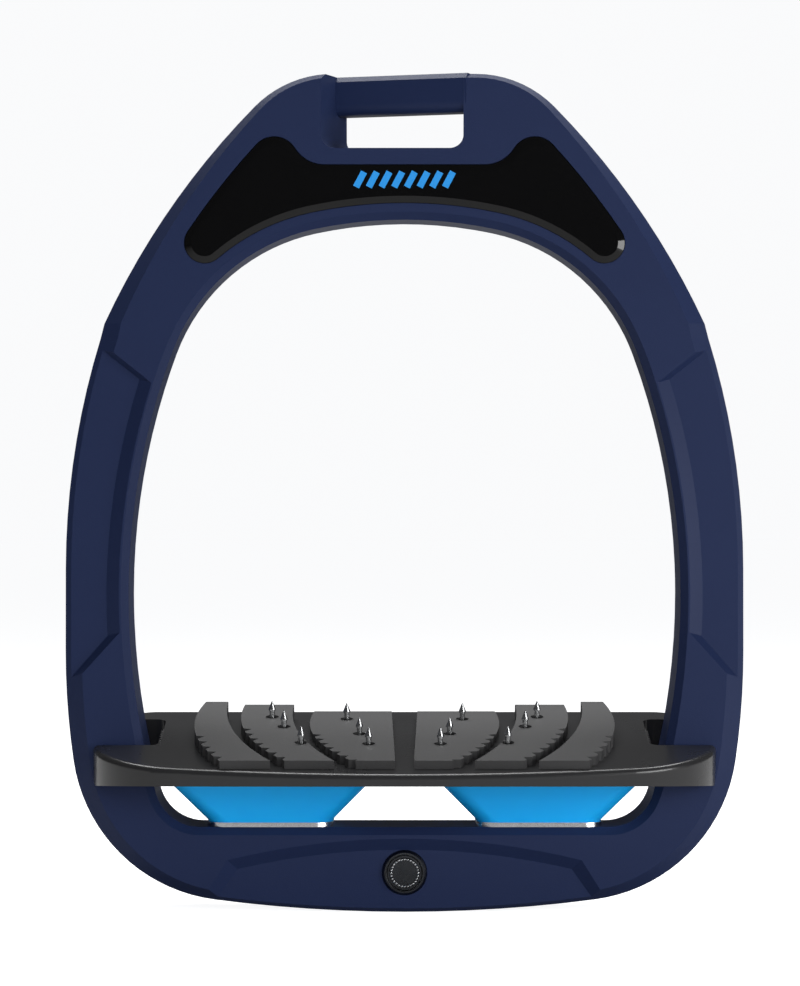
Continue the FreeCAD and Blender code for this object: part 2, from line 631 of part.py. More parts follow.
def draw_panel(outline, slope, gap):
    """The arch panel, or its pocket when a gap is added all round."""
    arch, haunch, _, _, _ = inner_centres()
    low_arch, low_haunch = D.arch_radius + D.panel_low_margin - gap, D.haunch_radius + D.panel_low_margin - gap
    high = D.slope_radius - D.panel_top_margin + gap
    tip_radius, peak_radius = D.panel_tip_radius + gap, D.panel_peak_radius + gap
    valley_radius, flat = D.panel_valley_radius - gap, D.panel_top_height + gap
    tip = crossing(haunch, (low_haunch + tip_radius).value, slope, (high - tip_radius).value, -1)
    if tip[1] > haunch[1] + low_haunch.value:
        tip = crossing(haunch, (low_haunch + tip_radius).value, slope, (high - tip_radius).value, 1)
    valley = (D.panel_half_flat.value, (flat + valley_radius).value)
    peak = crossing(slope, (high - peak_radius).value, valley, (peak_radius + valley_radius).value, -1)
    spring = towards(arch, haunch, low_arch.value)
    tip_in, tip_out = towards(haunch, tip, low_haunch.value), towards(slope, tip, high.value)
    peak_out, peak_in = towards(slope, peak, high.value), towards(valley, peak, valley_radius.value)
    outline.arc(arch, (0, arch[1] + low_arch.value), spring, ccw=False)
    outline.arc(haunch, spring, tip_in, ccw=False)
    outline.arc(tip, tip_in, tip_out)
    outline.arc(slope, tip_out, peak_out)
    outline.arc(peak, peak_out, peak_in)
    outline.arc(valley, peak_in, (valley[0], flat.value), ccw=False)
    outline.line((valley[0], flat.value), (0, flat.value))
    outline.join(smooth=range(6), closed=False)
    outline.on_middle(outline.links[0][0], CENTRE)
    outline.radius(0, low_arch)
    outline.centre(0, y=D.arch_height - D.arch_radius)
    outline.radius(1, low_haunch)
    outline.centre(1, x=Size(haunch[0], "frame_inside.Constraints.haunch_x"))
    outline.radius(2, tip_radius)
    outline.radius(3, high)
    outline.centre(3, x=Size(slope[0], "frame_front_bevel.Constraints.slope_x"),
                   y=Size(slope[1], "frame_front_bevel.Constraints.slope_y"))
    outline.radius(4, peak_radius)
    outline.radius(5, valley_radius)
    outline.rule("Horizontal", outline.links[6][0])
    outline.pin(5, x=D.panel_half_flat, y=flat)
    outline.mirror()


def make_frame():
    """The moulded frame: blank, opening, recesses, eye, seats and screw bores."""
    body = new_body("frame")
    bevels = (D.side_bevel_width, D.low_bevel_width, D.top_bevel_width)
    sections = []
    for name, front, sunk, insets in (
        ("frame_rear_face", False, None, bevels),
        ("frame_rear_bevel", False, D.outer_bevel_depth, (NOTHING,) * 3),
        ("frame_front_bevel", True, D.outer_bevel_depth, (NOTHING,) * 3),
        ("frame_front_face", True, None, bevels),
    ):
        section = face_outline(body, name, front, sunk)
        slope = draw_outer(section, *insets)
        sections.append(section)
    doc.recompute()
    blank = loft(body, "AdditiveLoft", "frame_blank", sections)
    doc.recompute()
    inside = Outline(body, "frame_inside", "XZ_Plane")
    draw_inside(inside)
    opening = pocket(body, inside, symmetric=True)
    doc.recompute()
    edges = rim(opening.Shape, Vector(0, -1, 0)) + rim(opening.Shape, Vector(0, 1, 0))
    bevel = feature(body, "Chamfer", "frame_inner_bevel", Base=(opening, edges))
    bind(bevel, "Size", D.inner_bevel)
    doc.recompute()

    for face, front in (("front", True), ("rear", False)):
        for side_name, side in SIDES:
            pair = []
            for level, part in enumerate(("mouth", "floor")):
                sunk = D.recess_depth * level
                outline = face_outline(body, f"leg_recess_{face}_{side_name}_{part}", front, sunk)
                draw_leg_recess(outline, side, level)
                pair.append(outline)
            loft(body, "SubtractiveLoft", f"leg_recess_{face}_{side_name}", pair)
            doc.recompute()
        pair = []
        for level, part in enumerate(("mouth", "floor")):
            outline = face_outline(body, f"sole_recess_{face}_{part}", front, D.sole_depth * level)
            draw_sole_recess(outline, level)
            pair.append(outline)
        loft(body, "SubtractiveLoft", f"sole_recess_{face}", pair)
        doc.recompute()
        seat = face_outline(body, f"panel_seat_{face}", front, D.panel_recess)
        draw_panel(seat, slope, D.panel_gap)
        pocket(body, seat, D.panel_recess + D.cut_over, reverse=front)
        doc.recompute()

    cut_eye(body)
    cut_seats(body)
    return body, slope


def cut_eye(body):
    """The skewed slot for the leather and the bar over it."""
    turn = (Vector(0, -1, 0), D.eye_skew)
    floor = EYE_HEIGHT - D.eye_slot_height
    half, corner = D.eye_slot_width.half(), D.eye_slot_corner
    window = Outline(body, "eye_window", "XZ_Plane", turn=turn)
    x, r, low, high = half.value, corner.value, floor.value, (D.frame_height + D.cut_over).value
    window.line((0, low), (x - r, low))
    window.arc((x - r, low + r), (x - r, low), (x, low + r))
    window.line((x, low + r), (x, high))
    window.line((x, high), (0, high))
    window.join(smooth=(0, 1), closed=False)
    window.rule("Horizontal", window.links[0][0])
    window.rule("Vertical", window.links[2][0])
    window.rule("Horizontal", window.links[3][0])
    window.pin(0, y=floor)
    window.radius(1, corner)
    window.pin(2, x=half, y=D.frame_height + D.cut_over)
    window.mirror()
    pocket(body, window, symmetric=True)
    doc.recompute()

    bar = Outline(body, "eye_bar", "YZ_Plane", turn=turn)
    half_bar, bend = D.eye_bar_depth.half(), D.eye_bar_round
    x, r, low, high = half_bar.value, bend.value, EYE_HEIGHT.value, D.frame_height.value
    lip = D.top_bevel_width
    bar.line((0, low), (x - r, low))
    bar.arc((x - r, low + r), (x - r, low), (x, low + r))
    bar.line((x, low + r), (x, high - lip.value))
    bar.line((x, high - lip.value), (x - lip.value, high))
    bar.line((x - lip.value, high), (0, high))
    bar.join(smooth=(0, 1), closed=False)
    bar.rule("Horizontal", bar.links[0][0])
    bar.rule("Vertical", bar.links[2][0])
    bar.rule("Horizontal", bar.links[4][0])
    bar.pin(0, y=EYE_HEIGHT)
    bar.radius(1, bend)
    bar.pin(2, x=half_bar, y=D.frame_height - lip)
    bar.pin(3, x=half_bar - lip, y=D.frame_height)
    bar.mirror()
    pad(body, bar, D.eye_slot_width + D.top_bevel_width, symmetric=True)
    doc.recompute()


def cut_seats(body):
    """The badge seat, the keeper's pocket, and the bores and counterbores of the tread screws."""
    floor = badge_floor()
    seat = Outline(body, "badge_seat", "XZ_Plane", base=(("z", floor),))
    seat.circle((NOTHING, D.badge_height), D.badge_radius + D.badge_gap)
    pocket(body, seat, D.cut_over, reverse=True)
    keeper = Outline(body, "keeper_seat", "XZ_Plane", base=(("z", floor - D.keeper_thickness),))
    keeper.circle((NOTHING, D.badge_height), D.magnet_radius)
    pocket(body, keeper, D.cut_over, reverse=True)
    doc.recompute()
    bores = Outline(body, "screw_bores", "XY_Plane")
    heads = Outline(body, "screw_counterbores", "XY_Plane", base=(("z", D.counterbore_height),))
    for _, side in SIDES:
        place = (D.screw_spacing.half() * side, NOTHING)
        bores.circle(place, D.bush_radius + D.bush_play)
        heads.circle(place, D.counterbore_radius)
    pocket(body, bores, D.bar_top_height + D.cut_over, reverse=True)
    pocket(body, heads, D.counterbore_height + D.cut_over)
    doc.recompute()


def badge_floor():
    """Distance of the badge seat's floor from the middle plane."""
    lean = (D.bottom_depth - D.eye_depth).half() / D.frame_height
    face = D.bottom_depth.half() - lean * D.badge_height
    return face - D.sole_depth - D.badge_seat_depth


def make_arch_panel(face, slope):
    """One glossy arch panel with a bevelled edge."""
    front = face == "front"
    body = new_body(f"{face}_arch_panel")
    sections = []
    for level, raised, inset in (
        ("back", NOTHING, NOTHING),
        ("shoulder", D.panel_thickness - D.panel_bevel.half(), NOTHING),
        ("front", D.panel_thickness, D.panel_bevel),
    ):
        outline = face_outline(body, f"{face}_panel_{level}", front, D.panel_recess - raised)
        draw_panel(outline, slope, -inset)
        sections.append(outline)
    loft(body, "AdditiveLoft", f"{face}_panel", sections)
    doc.recompute()
    return body


# ---------------------------------------------------------------- turned pieces


def turned(label, profile, place=(NOTHING, NOTHING, NOTHING), tread=False, plane="XZ_Plane"):
    """A piece turned about the vertical: profile holds (radius, height) pairs, the first two on the axis side."""
    body = new_body(label, tread)
    x, y, z = place
    base = (("x", x), ("y", z), ("z", -y)) if plane == "XZ_Plane" else ()
    outline = Outline(body, f"{label}_profile", plane, base=base)
    numbers = [(r.value, h.value) for r, h in profile]
    for start, end in zip(numbers, numbers[1:] + numbers[:1]):
        outline.line(start, end)
    outline.join()
    for link, (r, h) in enumerate(profile[1:] + profile[:1]):
        outline.pin(link, x=r, y=h)
    feature(body, "Revolution", f"{label}_turned", Profile=outline.sketch,
            ReferenceAxis=(outline.sketch, ["V_Axis"]), Angle=360.0)
    return body


def make_badge():
    """Badge cap, its magnet, and the keeper disc in the bar."""
    floor = badge_floor()
    parts = []
    rim_width, groove = D.badge_radius * 0.16, D.badge_thickness * 0.12
    profiles = {
        "badge_cap": [
            (NOTHING, D.magnet_thickness), (D.magnet_radius, D.magnet_thickness), (D.magnet_radius, NOTHING),
            (D.badge_radius, NOTHING), (D.badge_radius, D.badge_thickness - groove * 2),
            (D.badge_radius - rim_width.half(), D.badge_thickness),
            (D.badge_radius - rim_width, D.badge_thickness),
            (D.badge_radius - rim_width * 1.4, D.badge_thickness - groove),
            (D.badge_radius - rim_width * 1.9, D.badge_thickness - groove),
            (D.badge_radius - rim_width * 2.3, D.badge_thickness), (NOTHING, D.badge_thickness),
        ],
        "badge_magnet": [
            (NOTHING, NOTHING), (D.magnet_radius, NOTHING), (D.magnet_radius, D.magnet_thickness),
            (NOTHING, D.magnet_thickness),
        ],
        "badge_keeper": [
            (NOTHING, -D.keeper_thickness), (D.magnet_radius, -D.keeper_thickness), (D.magnet_radius, NOTHING),
            (NOTHING, NOTHING),
        ],
    }
    for label, profile in profiles.items():
        body = doc.addObject("PartDesign::Body", label)
        body.Label = label
        body.Placement = Placement(Vector(), Rotation(Vector(1, 0, 0), 90))
        bind(body, "Placement.Base.y", -floor)
        bind(body, "Placement.Base.z", D.badge_height - EYE_HEIGHT)
        outline = Outline(body, f"{label}_profile", "XZ_Plane")
        outline.polygon(profile)
        feature(body, "Revolution", f"{label}_turned", Profile=outline.sketch,
                ReferenceAxis=(outline.sketch, ["V_Axis"]), Angle=360.0)
        parts.append(body)
    doc.recompute()
    return parts


def make_screw_stack(side_name, side):
    """Screw, washer, bush, seat plate, elastomer and insert on one screw line."""
    place = (D.screw_spacing.half() * side, NOTHING, NOTHING)
    flange_top = PLAY_BELOW_SHOULDER
    flange_low = flange_top - D.bush_flange_height
    washer_low = flange_low - D.washer_thickness
    head_low = washer_low - D.screw_head_height
    screw_top = D.insert_base + D.insert_length - D.washer_thickness
    nick = D.screw_head_height * 0.12
    screw = turned(f"tread_screw_{side_name}", [
        (NOTHING, head_low), (D.screw_head_radius - nick, head_low), (D.screw_head_radius, head_low + nick),
        (D.screw_head_radius, washer_low), (D.screw_radius, washer_low), (D.screw_radius, screw_top - nick),
        (D.screw_radius - nick, screw_top), (NOTHING, screw_top),
    ], place)
    cut_key(screw, side_name, place[0], head_low)
    bore = D.screw_radius + D.slide_gap
    turned(f"screw_washer_{side_name}", [
        (bore, washer_low), (D.washer_radius, washer_low), (D.washer_radius, flange_low), (bore, flange_low),
    ], place)
    bush_top = D.bar_top_height - D.bush_play.half()
    turned(f"guide_bush_{side_name}", [
        (bore, flange_low), (D.bush_flange_radius, flange_low), (D.bush_flange_radius, flange_top),
        (D.bush_radius, flange_top), (D.bush_radius, bush_top), (bore, bush_top),
    ], place)
    groove = D.insert_length * 0.12
    turned(f"tread_insert_{side_name}", [
        (D.screw_radius, D.insert_base), (D.insert_radius, D.insert_base),
        (D.insert_radius, D.insert_base + D.insert_length * 0.4),
        (D.insert_radius - groove, D.insert_base + D.insert_length * 0.45),
        (D.insert_radius - groove, D.insert_base + D.insert_length * 0.55),
        (D.insert_radius, D.insert_base + D.insert_length * 0.6),
        (D.insert_radius, D.insert_base + D.insert_length), (D.screw_radius, D.insert_base + D.insert_length),
    ], place)
    make_seat_plate(side_name, place[0])
    make_elastomer(side_name, place[0])


def cut_key(body, side_name, x, head_low):
    """The hexagon socket in a screw's head."""
    outline = Outline(body, f"screw_key_{side_name}", "XY_Plane", base=(("x", x), ("z", head_low)))
    reach = D.screw_key / math.cos(math.radians(30))
    corners = [(reach * math.cos(math.radians(60 * n)), reach * math.sin(math.radians(60 * n))) for n in range(6)]
    outline.polygon(corners)
    pocket(body, outline, D.screw_key_depth, reverse=True)


def make_seat_plate(side_name, x):
    """The bright metal plate between an elastomer and the bar."""
    body = new_body(f"seat_plate_{side_name}")
    outline = Outline(body, f"seat_{side_name}", "XY_Plane", base=(("x", x), ("z", D.bar_top_height)))
    outline.rounded_box(D.block_foot_width.half() + D.seat_rim, D.block_foot_depth.half() + D.seat_rim, D.block_corner)
    pad(body, outline, D.seat_thickness)
    cut_block_bore(body, side_name, "seat_bore", x)
    return body


def cut_block_bore(body, side_name, name, x):
    """The screw's way through a seat plate or an elastomer."""
    bore = Outline(body, f"{name}_{side_name}", "XY_Plane")
    bore.circle((x, NOTHING), D.screw_radius + D.block_bore_gap)
    pocket(body, bore, reverse=True)


def make_elastomer(side_name, x):
    """One flared elastomer block, cut at its top by the tread's sloping underside."""
    body = new_body(f"elastomer_{side_name}")
    foot = Outline(body, f"block_foot_{side_name}", "XY_Plane", base=(("x", x), ("z", BLOCK_FOOT)))
    foot.rounded_box(D.block_foot_width.half(), D.block_foot_depth.half(), D.block_corner)
    drop = D.tread_thickness * D.tread_tilt.sin()
    head = Outline(body, f"block_head_{side_name}", "XY_Plane", turn=(Vector(1, 0, 0), D.tread_tilt), base=(
        ("x", x), ("y", drop), ("z", D.tread_height - D.tread_thickness * D.tread_tilt.cos())))
    head.rounded_box(D.block_foot_width.half() + BLOCK_RISE * D.block_flare,
                     D.block_foot_depth.half() + BLOCK_RISE * D.block_flare_depth,
                     D.block_corner * 1.2, middle_y=-drop)
    loft(body, "AdditiveLoft", f"block_{side_name}", (foot, head))
    cut_block_bore(body, side_name, "block_bore", x)
    doc.recompute()
    return body


# ---------------------------------------------------------------- tread

PADS = (
    ("outer", "outer_pad", 6, ()),
    ("middle", "middle_pad", 7, ("middle_stud_1", "middle_stud_2", "middle_stud_3")),
    ("inner", "inner_pad", 7, ("inner_stud_1", "inner_stud_2", "inner_stud_3")),
)


def pad_size(row, name):
    """A size of one row of grip pads."""
    return getattr(D, f"{row}_{name}")


def pad_height(row, y):
    """Height of a pad's sloping face at a distance from the screw line."""
    slope = (pad_size(row, "height") - D.pad_front_height) / (D.pad_front + D.pad_back)
    return D.pad_front_height + slope * (y + D.pad_front)


def draw_tread(outline):
    """The tread seen from above, with a notch round each leg."""
    front_centre = (0.0, (D.tread_front_radius - D.tread_front).value)
    end, back_end, back = D.tread_half_length.value, D.tread_back_half_length.value, D.tread_back.value
    corner, back_corner, r = D.tread_corner_radius.value, D.tread_back_corner.value, D.notch_corner.value
    notch, wall_front, wall_back = D.notch_half_length.value, -D.notch_front.value, D.notch_back.value
    corner_centre = crossing(front_centre, D.tread_front_radius.value - corner, (end, wall_front), corner, 1)
    if corner_centre[0] > end:
        corner_centre = crossing(front_centre, D.tread_front_radius.value - corner, (end, wall_front), corner, -1)
    turn = towards(front_centre, corner_centre, D.tread_front_radius.value)
    outline.arc(front_centre, (0, -D.tread_front.value), turn)
    outline.arc(corner_centre, turn, (end, wall_front))
    outline.line((end, wall_front), (notch + r, wall_front))
    outline.arc((notch + r, wall_front + r), (notch + r, wall_front), (notch, wall_front + r), ccw=False)
    outline.line((notch, wall_front + r), (notch, wall_back - r))
    outline.arc((notch + r, wall_back - r), (notch, wall_back - r), (notch + r, wall_back), ccw=False)
    outline.line((notch + r, wall_back), (back_end, wall_back))
    outline.line((back_end, wall_back), (back_end, back - back_corner))
    outline.arc((back_end - back_corner, back - back_corner), (back_end, back - back_corner),
                (back_end - back_corner, back))
    outline.line((back_end - back_corner, back), (0, back))
    outline.join(smooth=(0, 2, 3, 4, 5, 7, 8), closed=False)
    outline.hold("DistanceY", (outline.links[0][0], outline.links[0][1]), -D.tread_front)
    outline.on_middle(outline.links[0][0], CENTRE)
    outline.radius(0, D.tread_front_radius)
    outline.radius(1, D.tread_corner_radius)
    outline.pin(1, x=D.tread_half_length, y=-D.notch_front)
    outline.rule("Horizontal", outline.links[2][0])
    outline.radius(3, D.notch_corner)
    outline.rule("Vertical", outline.links[4][0])
    outline.pin(4, x=D.notch_half_length)
    outline.radius(5, D.notch_corner)
    outline.rule("Horizontal", outline.links[6][0])
    outline.pin(6, x=D.tread_back_half_length, y=D.notch_back)
    outline.rule("Vertical", outline.links[7][0])
    outline.radius(8, D.tread_back_corner)
    outline.rule("Horizontal", outline.links[9][0])
    outline.pin(8, y=D.tread_back)
    outline.mirror()


def make_tread_plate():
    """The tread plate: outline, rising underside, rounded rim, insert bores and stud holes."""
    body = new_body("tread_plate", tread=True)
    plan = Outline(body, "tread_plan", "XY_Plane")
    draw_tread(plan)
    slab = pad(body, plan, D.tread_thickness, reverse=True)
    doc.recompute()
    middle, reach = (D.notch_back - D.notch_front).half().value, (D.notch_back + D.notch_front).half().value
    edges = [name for name in rim(slab.Shape, Vector(0, 0, 1), biggest=False)
             if abs(slab.Shape.getElement(name).CenterOfMass.y - middle) > reach + 0.1]
    rounding = feature(body, "Fillet", "tread_rim_round", Base=(slab, edges))
    bind(rounding, "Radius", D.tread_edge_round)
    doc.recompute()
    under = Outline(body, "tread_under", "YZ_Plane")
    run = D.tread_front - D.rim_start
    beyond = D.tread_front + D.cut_over
    rise = (D.tread_thickness - D.rim_thickness) / run
    under.polygon([
        (-D.rim_start, -D.tread_thickness), (-beyond, -D.tread_thickness - D.cut_over),
        (-beyond, -D.rim_thickness + rise * D.cut_over),
    ])
    pocket(body, under, symmetric=True)
    doc.recompute()

    # The insert bores stand upright, so they are drawn on a plane turned back by the tread's slope.
    upright = (Vector(-1, 0, 0), D.tread_tilt)
    bores = Outline(body, "insert_bores", "XY_Plane", turn=upright)
    ceiling = D.insert_base + D.insert_length - D.tread_height
    bind(bores.sketch, "AttachmentOffset.Base.y", ceiling * D.tread_tilt.sin())
    bind(bores.sketch, "AttachmentOffset.Base.z", ceiling * D.tread_tilt.cos())
    for _, side in SIDES:
        bores.circle((D.screw_spacing.half() * side, NOTHING), D.insert_radius)
    pocket(body, bores, D.tread_thickness + D.cut_over)
    doc.recompute()
    holes = Outline(body, "stud_holes", "XY_Plane")
    for _, row, _, studs in PADS:
        for stud in studs:
            for _, side in SIDES:
                holes.circle((getattr(D, stud + "_x") * side, getattr(D, stud + "_y")), D.stud_thread_radius)
    pocket(body, holes, D.stud_embed - D.pad_front_height)
    doc.recompute()
    return body


def make_grip_pad(name, row, teeth, studs, side_name, side):
    """One raised grip pad: curved sides, notched outer edge, sloping face, stud wells."""
    label = f"grip_pad_{name}_{side_name}"
    body = new_body(label, tread=True)
    front, back = -D.pad_front, D.pad_back
    corners = {key: pad_size(row, key) * side for key in ("front_near", "front_far", "back_far", "back_near")}
    front_near, front_far = (corners[k].value for k in ("front_near", "front_far"))
    back_far, back_near = (corners[k].value for k in ("back_far", "back_near"))
    far_centre = bow((front_far, front.value), (back_far, back.value), D.pad_outer_curve.value, side)
    near_centre = bow((front_near, front.value), (back_near, back.value), D.pad_inner_curve.value, side)
    plan = Outline(body, f"{label}_plan", "XY_Plane")
    plan.line((front_near, front.value), (front_far, front.value))
    plan.arc(far_centre, (front_far, front.value), (back_far, back.value), ccw=side > 0)
    plan.line((back_far, back.value), (back_near, back.value))
    straight = name == "inner"
    if straight:
        plan.line((back_near, back.value), (front_near, front.value))
    else:
        plan.arc(near_centre, (back_near, back.value), (front_near, front.value), ccw=side < 0)
    plan.join()
    plan.pin(0, x=corners["front_far"], y=front)
    plan.radius(1, D.pad_outer_curve)
    plan.pin(1, x=corners["back_far"], y=back)
    plan.pin(2, x=corners["back_near"], y=back)
    plan.pin(3, x=corners["front_near"], y=front)
    if not straight:
        plan.radius(3, D.pad_inner_curve)
    plan.measure_centre(1, "sweep")
    top = pad_size(row, "height") + 1
    pad(body, plan, top)
    doc.recompute()

    tooth = Outline(body, f"{label}_tooth", "XY_Plane", base=(
        ("x", Size(far_centre[0], f"{plan.sketch.Name}.Constraints.sweep_x")),
        ("y", Size(far_centre[1], f"{plan.sketch.Name}.Constraints.sweep_y"))))
    start = D.tooth_start
    outside, inside = D.pad_outer_curve + D.tooth_depth, D.pad_outer_curve - D.tooth_depth
    span = D.tooth_width / D.pad_outer_curve * math.degrees(1)
    tooth.polygon([
        (outside * side * start.cos(), -outside * start.sin()),
        (inside * side * (start + span * 0.8).cos(), -inside * (start + span * 0.8).sin()),
        (outside * side * (start + span * 2).cos(), -outside * (start + span * 2).sin()),
    ])
    notch = pocket(body, tooth, reverse=True)
    doc.recompute()
    row_of_notches = feature(body, "PolarPattern", f"{label}_notches", Originals=[notch],
                             Axis=(tooth.sketch, ["N_Axis"]), Occurrences=teeth, Reversed=side > 0)
    bind(row_of_notches, "Angle", D.tooth_pitch * (teeth - 1))
    body.Tip = row_of_notches
    doc.recompute()

    ramp = Outline(body, f"{label}_ramp", "YZ_Plane")
    low, high = pad_height(row, front - 2), pad_height(row, back + 2)
    ramp.polygon([(front - 2, low), (back + 2, high), (back + 2, top + 2), (front - 2, top + 2)])
    pocket(body, ramp, symmetric=True)
    if studs:
        holes = Outline(body, f"{label}_stud_holes", "XY_Plane")
        for stud in studs:
            place = (getattr(D, stud + "_x") * side, getattr(D, stud + "_y"))
            holes.circle(place, D.stud_thread_radius)
            well = Outline(body, f"{label}_{stud}_well", "XY_Plane",
                           base=(("z", pad_height(row, place[1]) - D.stud_well_depth),))
            well.circle(place, D.stud_well_radius)
            pocket(body, well, D.cut_over, reverse=True)
        pocket(body, holes, reverse=True)
    doc.recompute()
    return body


def bow(first, second, radius, side):
    """Centre of an arc that bows outwards between two points."""
    return crossing(first, radius, second, radius, side)


def make_stud(number, stud, row, side):
    """One pointed stud, screwed through its pad into the tread."""
    x, y = getattr(D, stud + "_x") * side, getattr(D, stud + "_y")
    neck = D.stud_well_depth
    return turned(f"stud_{number:02d}", [
        (NOTHING, -D.stud_embed), (D.stud_thread_radius, -D.stud_embed), (D.stud_thread_radius, -neck),
        (D.stud_shank_radius, -neck), (D.stud_shank_radius, D.stud_shank_top),
        (D.stud_cone_radius, D.stud_shank_top), (D.stud_cone_radius, D.stud_shank_top + 0.25),
        (D.stud_cone_radius * 0.12, D.stud_tip), (NOTHING, D.stud_tip),
    ], (x, y, pad_height(row, y)), tread=True)


def make_bumper(side_name, side):
    """The ribbed rubber strip in a notch, facing the leg."""
    body = new_body(f"leg_bumper_{side_name}", tread=True)
    base = Outline(body, f"bumper_{side_name}", "XY_Plane", base=(("z", -D.tread_edge_round),))
    near, far = D.notch_half_length * side, (D.notch_half_length + D.bumper_thickness * 0.5) * side
    half = D.bumper_half_width
    middle = (D.notch_back - D.notch_front).half()
    base.polygon([(near, middle - half), (far, middle - half), (far, middle + half), (near, middle + half)])
    pad(body, base, D.bumper_height, reverse=True)
    doc.recompute()
    rib = Outline(body, f"bumper_rib_{side_name}", "XY_Plane", base=(("z", -D.tread_edge_round),))
    crown = (D.notch_half_length + D.bumper_thickness) * side
    low = middle - half
    rib.polygon([(far, low), (crown, low + D.bumper_rib * 0.25), (crown, low + D.bumper_rib * 0.45),
                 (far, low + D.bumper_rib * 0.7)])
    first = pad(body, rib, D.bumper_height, reverse=True)
    doc.recompute()
    count = int((half.value * 2 - D.bumper_rib.value * 0.7) / D.bumper_rib.value) + 1
    ribs = feature(body, "LinearPattern", f"bumper_ribs_{side_name}", Originals=[first],
                   Direction=(rib.sketch, ["V_Axis"]), Occurrences=count)
    bind(ribs, "Length", D.bumper_rib * (count - 1))
    body.Tip = ribs
    doc.recompute()
    return body


# ---------------------------------------------------------------- build and write


def check_and_write():
    """Stop on any failed object, then write one STEP file per body."""
    doc.recompute()
    faults = [item.Name for item in doc.Objects if {"Invalid", "Error"} & set(item.State)]
    bodies = [item for item in doc.Objects if item.TypeId == "PartDesign::Body"]
    for body in bodies:
        shape = body.Shape
        if shape.isNull() or not shape.isValid() or len(shape.Solids) != 1:
            faults.append(body.Label)
    if faults:
        raise RuntimeError("failed: " + ", ".join(faults))
    os.makedirs("parts", exist_ok=True)
    for body in bodies:
        body.Shape.exportStep(os.path.join("parts", f"{body.Label}.step"))
        box = body.Shape.BoundBox
        print(f"{body.Label:28s} {body.Shape.Volume:10.1f} mm3  z {box.ZMin:8.2f} to {box.ZMax:8.2f}")


def main():
    _, slope = make_frame()
    for face in ("front", "rear"):
        make_arch_panel(face, slope)
    make_badge()
    make_tread_plate()
    number = 0
    for side_name, side in SIDES:
        make_screw_stack(side_name, side)
        make_bumper(side_name, side)
        for name, row, teeth, studs in PADS:
            make_grip_pad(name, row, teeth, studs, side_name, side)
            for stud in studs:
                number += 1
                make_stud(number, stud, row, side)
    check_and_write()


main()
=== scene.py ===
"""Studio picture of the jumping stirrup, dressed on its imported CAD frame.

The CAD nodes keep their shapes. This script gives them their finishes, adds the small surface pieces
(the inlay's motif and the badge's beaded ring), stands soft blocks in for the elastomers, and sets up
the studio.
"""

import logging
import math
from dataclasses import dataclass, field
from enum import Enum
from typing import Callable, Sequence

import bpy
from mathutils import Matrix, Vector
from mathutils.bvhtree import BVHTree


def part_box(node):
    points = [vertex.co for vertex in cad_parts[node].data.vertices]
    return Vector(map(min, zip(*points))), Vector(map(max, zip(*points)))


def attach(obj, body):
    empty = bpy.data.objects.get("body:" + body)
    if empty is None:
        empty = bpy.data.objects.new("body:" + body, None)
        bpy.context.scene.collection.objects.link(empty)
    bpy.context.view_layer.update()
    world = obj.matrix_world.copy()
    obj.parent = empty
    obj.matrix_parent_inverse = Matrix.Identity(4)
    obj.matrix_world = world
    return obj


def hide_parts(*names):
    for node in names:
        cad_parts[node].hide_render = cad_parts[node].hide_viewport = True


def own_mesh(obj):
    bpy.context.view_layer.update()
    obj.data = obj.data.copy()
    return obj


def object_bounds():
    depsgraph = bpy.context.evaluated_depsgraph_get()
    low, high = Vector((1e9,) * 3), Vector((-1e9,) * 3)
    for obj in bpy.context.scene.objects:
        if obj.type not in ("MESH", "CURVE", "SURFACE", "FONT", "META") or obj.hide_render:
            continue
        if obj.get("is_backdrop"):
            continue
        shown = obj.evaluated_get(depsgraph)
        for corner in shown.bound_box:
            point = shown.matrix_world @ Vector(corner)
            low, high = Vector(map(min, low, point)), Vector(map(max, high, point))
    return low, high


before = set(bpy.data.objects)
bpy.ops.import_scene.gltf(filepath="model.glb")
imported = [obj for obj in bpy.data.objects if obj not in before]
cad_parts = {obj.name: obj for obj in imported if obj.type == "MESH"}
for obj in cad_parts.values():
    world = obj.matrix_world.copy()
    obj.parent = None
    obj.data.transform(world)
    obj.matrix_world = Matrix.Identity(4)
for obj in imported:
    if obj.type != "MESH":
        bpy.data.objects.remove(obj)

LOG = logging.getLogger("stirrup")

MM = 0.001

# The motif sits at this share of the inlay's height, and its bars lean by the slant.
MOTIF_RISE = 0.66
MOTIF_BARS = 8
MOTIF_PITCH = 2.9 * MM
MOTIF_BAR = (1.5 * MM, 0.2 * MM, 3.9 * MM)
MOTIF_SLANT = math.radians(28)

# The bead ring on the badge, with its radius as a share of the cap's.
RING_SHARE = 0.62
RING_BEADS = 28
RING_BEAD = 0.32 * MM

FLOOR_REACH = 6.0
SENSOR_WIDTH = 36.0
COAT_ROUGHNESS = 0.04
SCATTER_RADIUS = (0.6, 0.9, 1.2)
SCATTER_SCALE = 0.002
Colour = tuple[float, float, float]


# ---------------------------------------------------------------- shader helpers


class Side(Enum):
    """The two sides of the stirrup, by the sign of X."""

    RIGHT = 1
    LEFT = -1

    @property
    def word(self) -> str:
        """The word used in the CAD node names."""
        return self.name.lower()


